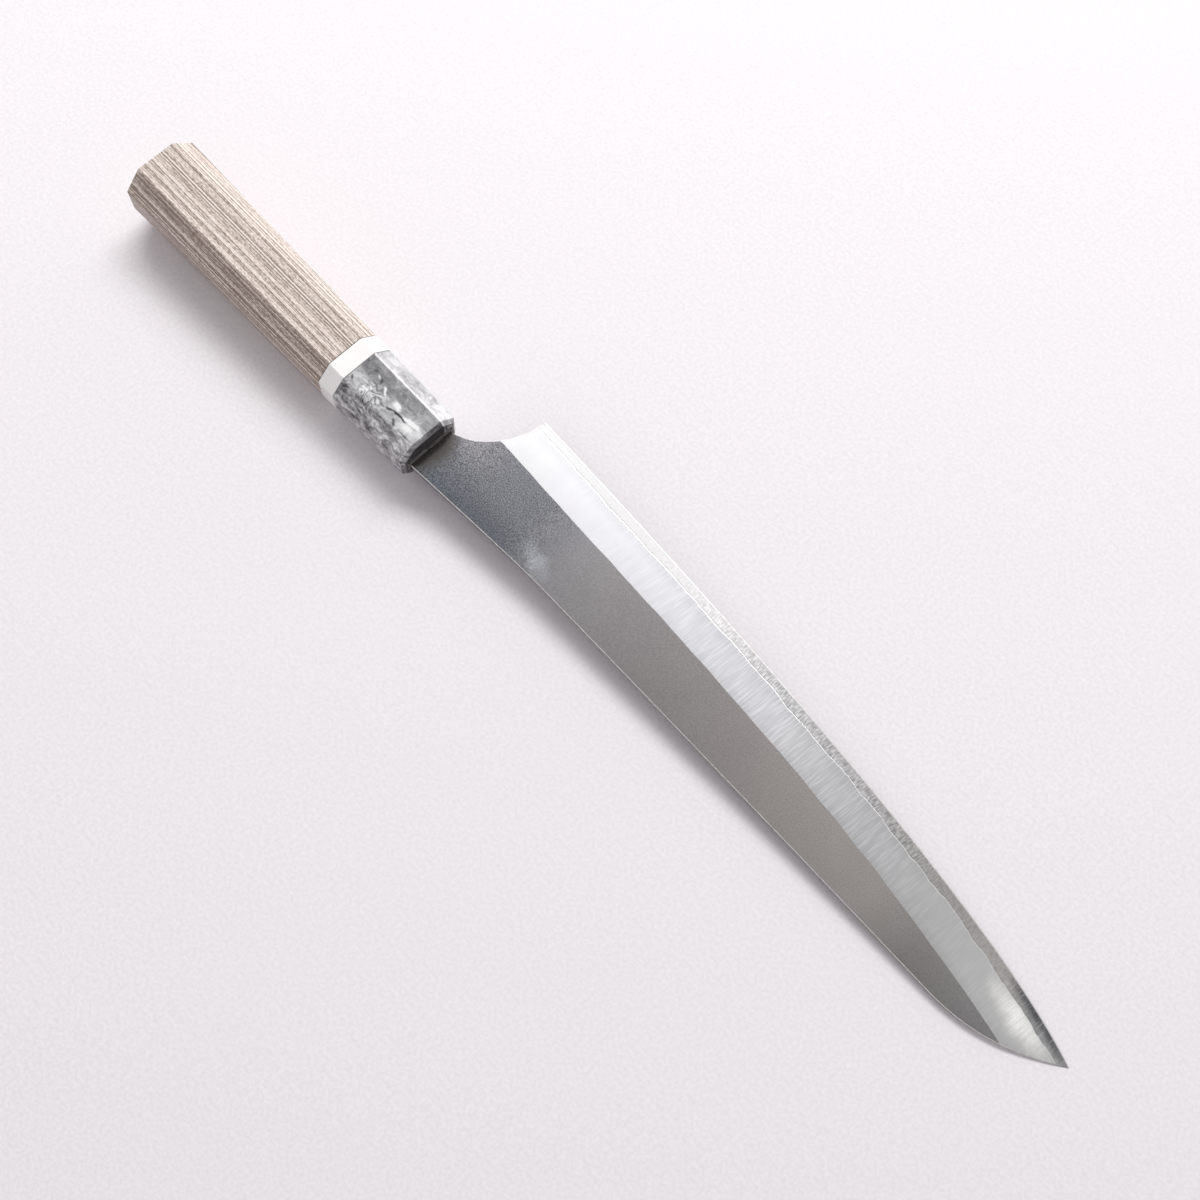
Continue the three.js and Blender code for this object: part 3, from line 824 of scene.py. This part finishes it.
def stations():
    """Places along the blade as (x, on the tang): dense at the choil and the nose."""
    turns = np.linspace(SHOULDER_TURN, math.pi / 2, NECK_STATIONS)
    tang = [
        *np.linspace(-TANG_LENGTH, -TANG_LENGTH + TANG_END_WIDTH / 2, TANG_STATIONS),
        *np.linspace(TANG_MIDDLE, TANG_ROOT, TANG_STATIONS),
        *(SHOULDER - SHOULDER_RADIUS * (1 - np.sin(turns))),
    ]
    blade = [
        *np.linspace(SHOULDER, NECK_STRAIGHT, NECK_STATIONS),
        *choil_line[CHOIL_STRIDE::CHOIL_STRIDE, 0],
        *np.arange(HEEL[0] + HEEL_GAP, NOSE[0], MIDDLE_STEP),
        *np.arange(NOSE[0], POINT[0] - TIP_LENGTH, NOSE_STEP),
        *np.linspace(POINT[0] - TIP_LENGTH, POINT[0] - TIP_GAP, TIP_STATIONS),
    ]
    return [(x, True) for x in tang] + [(x, False) for x in blade]


class Section:
    """The blade's left half at one station: limits, thicknesses and the lines across it."""

    def __init__(self, x, tang):
        self.x = x
        self.low = spine_at(x, tang)
        self.high = max(foot_at(x, tang), self.low + LEAST_HEIGHT)
        self.top = height_at(bevel_line, x) + RIDGE_WANDER * wander(x, RIDGE_LENGTH, RIDGE_SEED)
        self.edge = height_at(edge_line, x)
        self.foot = self.edge - EDGE_BEVEL
        self.top_half = blade_half(x)
        self.foot_half = EDGE_BEVEL_THICKNESS / 2
        self.core = core_half(x)
        share = (self.core + WELD_GAP + LIP_DROP - self.foot_half) / (self.top_half - self.foot_half)
        self.weld = mix(self.foot, self.top, share)

    def half(self, y):
        if y <= self.top:
            return self.top_half
        if y <= self.weld:
            plain = mix(self.top_half, self.foot_half, (y - self.top) / (self.foot - self.top))
            lip = max(y - self.weld + LIP_WIDTH, 0) / LIP_WIDTH
            return plain - LIP_DROP * lip * lip
        return self.core_surface(y)

    def core_surface(self, y):
        thin = FOOT_THICKNESS / 2
        if y <= self.foot:
            return mix(self.core, thin, (y - self.weld) / (self.foot - self.weld))
        return thin * max(self.edge - y, 0) / EDGE_BEVEL

    def core_at(self, y):
        """Half of the core's thickness, also where a cladding covers it."""
        return min(self.core_surface(max(y, self.weld)), self.core)

    def cladding(self):
        """Points of the outer surface from spine to weld line, then back along the core."""
        inner = self.core + WELD_GAP
        room = max(self.half(self.low) - inner, 0) * CLADDING_SHARE
        spine_round = min(SPINE_ROUND, room, (self.high - self.low) * HEIGHT_SHARE)
        stop = min(self.weld, self.high)
        choil_round = min(CHOIL_ROUND, room) if self.high < self.weld else 0.0
        start = self.low + spine_round
        end = max(stop - choil_round, start)
        soft, lip = BEVEL_SOFTNESS, self.weld - LIP_WIDTH
        rows = [
            *np.linspace(start, clamp(self.top - soft, start, end), FLAT_ROWS),
            self.top - soft / 2, self.top, self.top + soft / 2,
            *np.linspace(self.top + soft, lip, BEVEL_ROWS),
            *np.linspace(lip, self.weld, LIP_ROWS + 1)[1:],
        ]
        rows = [clamp(y, start, end) for y in rows]
        rim = [(y, max(self.half(y), inner)) for y in rows]
        spine = [
            (start - spine_round * math.sin(t), rim[0][1] - spine_round * (1 - math.cos(t)))
            for t in np.linspace(math.pi / 2, 0, SPINE_ROWS + 1)[:-1]
        ]
        foot = [
            (end + choil_round * math.sin(t), rim[-1][1] - choil_round * (1 - math.cos(t)))
            for t in np.linspace(0, math.pi / 2, FOOT_ROWS + 1)[1:]
        ]
        loop = spine + rim + foot + [(stop, inner), (self.low, inner)]
        return [(self.x, y, z) for y, z in loop]

    def core_loop(self):
        """The core's closed section: left side, edge, right side, and its face on the spine."""
        crown = self.core_at(self.low)
        left = [(self.low, crown), (max(min(self.weld, self.high), self.low), crown)]
        rows = [*np.linspace(self.weld, self.foot, CORE_ROWS)[1:], self.edge - EDGE_BEVEL / 2]
        for row in rows:
            y = clamp(row, self.low, self.high)
            left.append((y, self.core_at(y)))
        tip = min(self.edge, self.high)
        tip_half = 0.0 if self.high >= self.edge else self.core_at(tip)
        left.append((tip, max(tip_half, LEAST_EDGE)))
        loop = left + [(y, -z) for y, z in reversed(left)]
        return [(self.x, y, z) for y, z in loop]


def build_blade():
    flat, bevel, core = satin_flat(), brushed_bevel(), honed_core()
    weld = polished_line("weld_line", (0.94, 0.93, 0.92), (1.0, 0.99, 0.98))
    # The spine's strip: worn steel, lightened with a painted highlight where it mirrors the bright paper.
    spine = polished_line("worn_spine_highlight", (0.72, 0.71, 0.69), (0.88, 0.87, 0.85))
    keen = polished_line("keen_edge", (0.72, 0.71, 0.69), (0.80, 0.79, 0.77))
    sections = [Section(x, tang) for x, tang in stations()]
    loops = [section.cladding() for section in sections if section.low < section.weld - LIP_WIDTH]
    pieces = []
    for side, name in ((1, "blade_cladding_left"), (-1, "blade_cladding_right")):
        turned = [[(x, y, side * z) for x, y, z in loop] for loop in loops]
        points, faces, kinds = loft(turned, CLADDING_STRIPS)
        pieces.append(new_object(name, points, faces, (flat, bevel, weld, spine), kinds))
    loops = [section.core_loop() for section in sections]
    edge = len(loops[0]) // 2 - 1
    strips = [HONED] * len(loops[0])
    for strip in (edge - 1, edge, edge + 1):
        strips[strip] = KEEN
    points, faces, kinds = loft(loops, strips)
    pieces.append(new_object("blade_core", points, faces, (core, keen), kinds))
    return [tidy_mesh(piece, BLADE_MERGE, BLADE_CREASE) for piece in pieces]


# Handle
def handle_section(x, inset):
    """The eight-sided section at x, drawn in by an inset, with rounded corners."""
    share = -x / HANDLE_LENGTH
    w = mix(MOUTH_WIDTH, BUTT_WIDTH, share) / 2 - inset
    t = mix(MOUTH_THICKNESS, BUTT_THICKNESS, share) / 2 - inset
    c = mix(MOUTH_CHAMFER, BUTT_CHAMFER, share) - inset * (2 - math.sqrt(2))
    corners = [(w - c, -t), (w, c - t), (w, t - c), (w - c, t)]
    corners += [(-y, -z) for y, z in corners]
    points = []
    for i, corner in enumerate(corners):
        here = Vector(corner)
        before = (Vector(corners[i - 1]) - here).normalized()
        after = (Vector(corners[(i + 1) % len(corners)]) - here).normalized()
        centre = here + (before + after).normalized() * EDGE_ROUND / math.cos(CORNER_TURN / 2)
        start = here + before * EDGE_ROUND * math.tan(CORNER_TURN / 2) - centre
        for step in range(ARC_STEPS + 1):
            spot = centre + Matrix.Rotation(CORNER_TURN * step / ARC_STEPS, 2) @ start
            points.append((x, spot.x, spot.y))
    return points


def rounded_end(x, inward, bevel):
    """Sections from the drawn-in end face to the full section, along a rounded bevel."""
    turns = [math.pi / 2 * step / ARC_STEPS for step in range(ARC_STEPS + 1)]
    return [
        handle_section(x + inward * bevel * (1 - math.cos(turn)), bevel * (1 - math.sin(turn)))
        for turn in turns
    ]


def chamfered_end(x, inward, bevel):
    """Sections along a flat bevel with a small softening at both of its edges."""
    return [handle_section(x + inward * bevel * a, bevel * b) for a, b in EASED_BEVEL]


def prism(name, sections):
    points, faces, _ = loft(sections)
    return new_object(name, points, faces)


def bore(back, front):
    """Round cutter for the dowel's bore."""
    turns = [2 * math.pi * i / BORE_SIDES for i in range(BORE_SIDES)]
    radius = BORE_DIAMETER / 2
    return prism("bore", [
        [(x, math.cos(a) * radius, math.sin(a) * radius) for a in turns] for x in (back, front)
    ])


def mouth_slot(back, front):
    """Flat cutter for the blade's neck and the resin round it."""
    low, high, thickness = MOUTH_SLOT
    t = thickness / 2
    return prism("slot", [
        [(x, high, -t), (x, high, t), (x, low, t), (x, low, -t)] for x in (back, front)
    ])


def carve(piece, *cutters):
    """Cuts the bodies out of the piece for good and removes them."""
    for cutter in cutters:
        step = piece.modifiers.new("cut", "BOOLEAN")
        step.operation = "DIFFERENCE"
        step.solver = "EXACT"
        step.object = cutter
    graph = bpy.context.evaluated_depsgraph_get()
    result = bpy.data.meshes.new_from_object(piece.evaluated_get(graph))
    piece.modifiers.clear()
    piece.data = result
    for cutter in cutters:
        bpy.data.objects.remove(cutter)


def build_handle():
    ferrule = prism("handle_ferrule", rounded_end(-FERRULE_LENGTH, 1, JOINT_BEVEL)
                    + chamfered_end(0.0, -1, FRONT_BEVEL)[::-1])
    carve(ferrule, bore(-FERRULE_LENGTH - OVERCUT, -FRONT_WALL),
          mouth_slot(-FRONT_WALL - OVERCUT, OVERCUT))

    ring = prism("handle_ring", rounded_end(RING_BACK, 1, JOINT_BEVEL)
                 + rounded_end(RING_FRONT, -1, JOINT_BEVEL)[::-1])
    carve(ring, bore(RING_BACK - OVERCUT, RING_FRONT + OVERCUT))

    grip = prism("handle_grip", chamfered_end(-HANDLE_LENGTH, 1, BUTT_BEVEL)
                 + rounded_end(GRIP_FRONT, -1, JOINT_BEVEL)[::-1])
    carve(grip, bore(BORE_BACK, GRIP_FRONT + OVERCUT))

    for piece, look in ((ferrule, marbled_resin()), (ring, white_acrylic()), (grip, veneer_wood())):
        piece.data.materials.clear()
        piece.data.materials.append(look)
        tidy_mesh(piece, HANDLE_MERGE, HANDLE_CREASE)
    return [ferrule, ring, grip]


# Stage
def build_floor():
    profile = [(r, 0.0) for r in np.linspace(FLOOR_CENTRE, FLOOR_RADIUS, FLOOR_RINGS)]
    for turn in np.linspace(0, math.pi / 2, RIM_RINGS + 1)[1:]:
        reach = mix(FLOOR_RADIUS, RIM_RADIUS, math.sin(turn))
        profile.append((reach, RIM_HEIGHT * (1 - math.cos(turn))))
    turns = [2 * math.pi * i / FLOOR_SIDES for i in range(FLOOR_SIDES)]
    points, faces = [(0, 0, 0)], []
    for radius, height in profile:
        points += [(radius * math.cos(a), radius * math.sin(a), height) for a in turns]
    for i in range(FLOOR_SIDES):
        j = (i + 1) % FLOOR_SIDES
        faces.append((0, 1 + i, 1 + j))
        for row in range(len(profile) - 1):
            a, b = 1 + row * FLOOR_SIDES, 1 + (row + 1) * FLOOR_SIDES
            faces.append((a + i, b + i, b + j, a + j))
    mesh = bpy.data.meshes.new("floor")
    mesh.from_pydata(points, [], faces)
    mesh.materials.append(pale_paper())
    mesh.shade_smooth()
    floor = bpy.data.objects.new("floor", mesh)
    bpy.context.scene.collection.objects.link(floor)


def build_light():
    away = Vector((-math.sin(CAMERA_AZIMUTH), math.cos(CAMERA_AZIMUTH), 0))
    right = Vector((math.cos(CAMERA_AZIMUTH), math.sin(CAMERA_AZIMUTH), 0))
    flat = away * math.cos(KEY_HEADING) + right * math.sin(KEY_HEADING)
    towards = flat * math.sin(KEY_FROM_ZENITH) + Vector((0, 0, math.cos(KEY_FROM_ZENITH)))
    lamp = bpy.data.lights.new("softbox", "AREA")
    lamp.shape = "RECTANGLE"
    lamp.size, lamp.size_y = KEY_WIDTH, KEY_HEIGHT
    lamp.energy = KEY_POWER
    holder = bpy.data.objects.new("softbox", lamp)
    holder.location = towards * KEY_DISTANCE
    holder.rotation_mode = "QUATERNION"
    holder.rotation_quaternion = (-towards).to_track_quat("-Z", "Y")
    bpy.context.scene.collection.objects.link(holder)

    world = bpy.data.worlds.new("studio")
    world.use_nodes = True
    tree = world.node_tree
    sky = tree.nodes["Background"]
    outward = add(tree, "TexCoord").outputs["Generated"]
    _, _, up = axes(tree, outward)
    back = add(tree, "VectorMath", {0: outward, 1: -away}, operation="DOT_PRODUCT").outputs["Value"]
    overhead = remap(tree, up, CEILING_FROM, CEILING_TO, HORIZON, CEILING)
    fill = remap(tree, back, NEAR_SIDE_FROM, NEAR_SIDE_TO, 0.0, NEAR_SIDE)
    feed(tree, sky.inputs["Strength"], plus(tree, overhead, fill))
    feed(tree, sky.inputs["Color"], SKY_COLOUR)
    bpy.context.scene.world = world


def build_camera():
    data = bpy.data.cameras.new("camera")
    data.lens = CAMERA_LENS
    data.sensor_width = SENSOR_WIDTH
    data.sensor_fit = "HORIZONTAL"
    data.clip_start, data.clip_end = SIGHT_NEAR, SIGHT_FAR
    camera = bpy.data.objects.new("camera", data)
    a, e = CAMERA_AZIMUTH, CAMERA_ELEVATION
    ahead = Vector((-math.sin(a) * math.cos(e), math.cos(a) * math.cos(e), -math.sin(e)))
    camera.location = CAMERA_PLACE
    camera.rotation_mode = "QUATERNION"
    camera.rotation_quaternion = ahead.to_track_quat("-Z", "Y")
    bpy.context.scene.collection.objects.link(camera)
    bpy.context.scene.camera = camera


build_camera()
build_floor()
build_light()
bpy.context.scene.view_settings.view_transform = "Standard"

STANDS_FOR = {
    "blade_cladding_left": "cladding_left",
    "blade_cladding_right": "cladding_right",
    "blade_core": "core_steel",
    "handle_ferrule": "ferrule",
    "handle_ring": "spacer_ring",
    "handle_grip": "grip",
}
for piece in build_blade() + build_handle():
    node = STANDS_FOR[piece.name]
    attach(piece, "root")
    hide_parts(node)

for node, look in (("tang_dowel", bare_wood()), ("mouth_seal", cured_resin())):
    mesh = frame["nodes"][node].data
    mesh.materials.clear()
    mesh.materials.append(look)
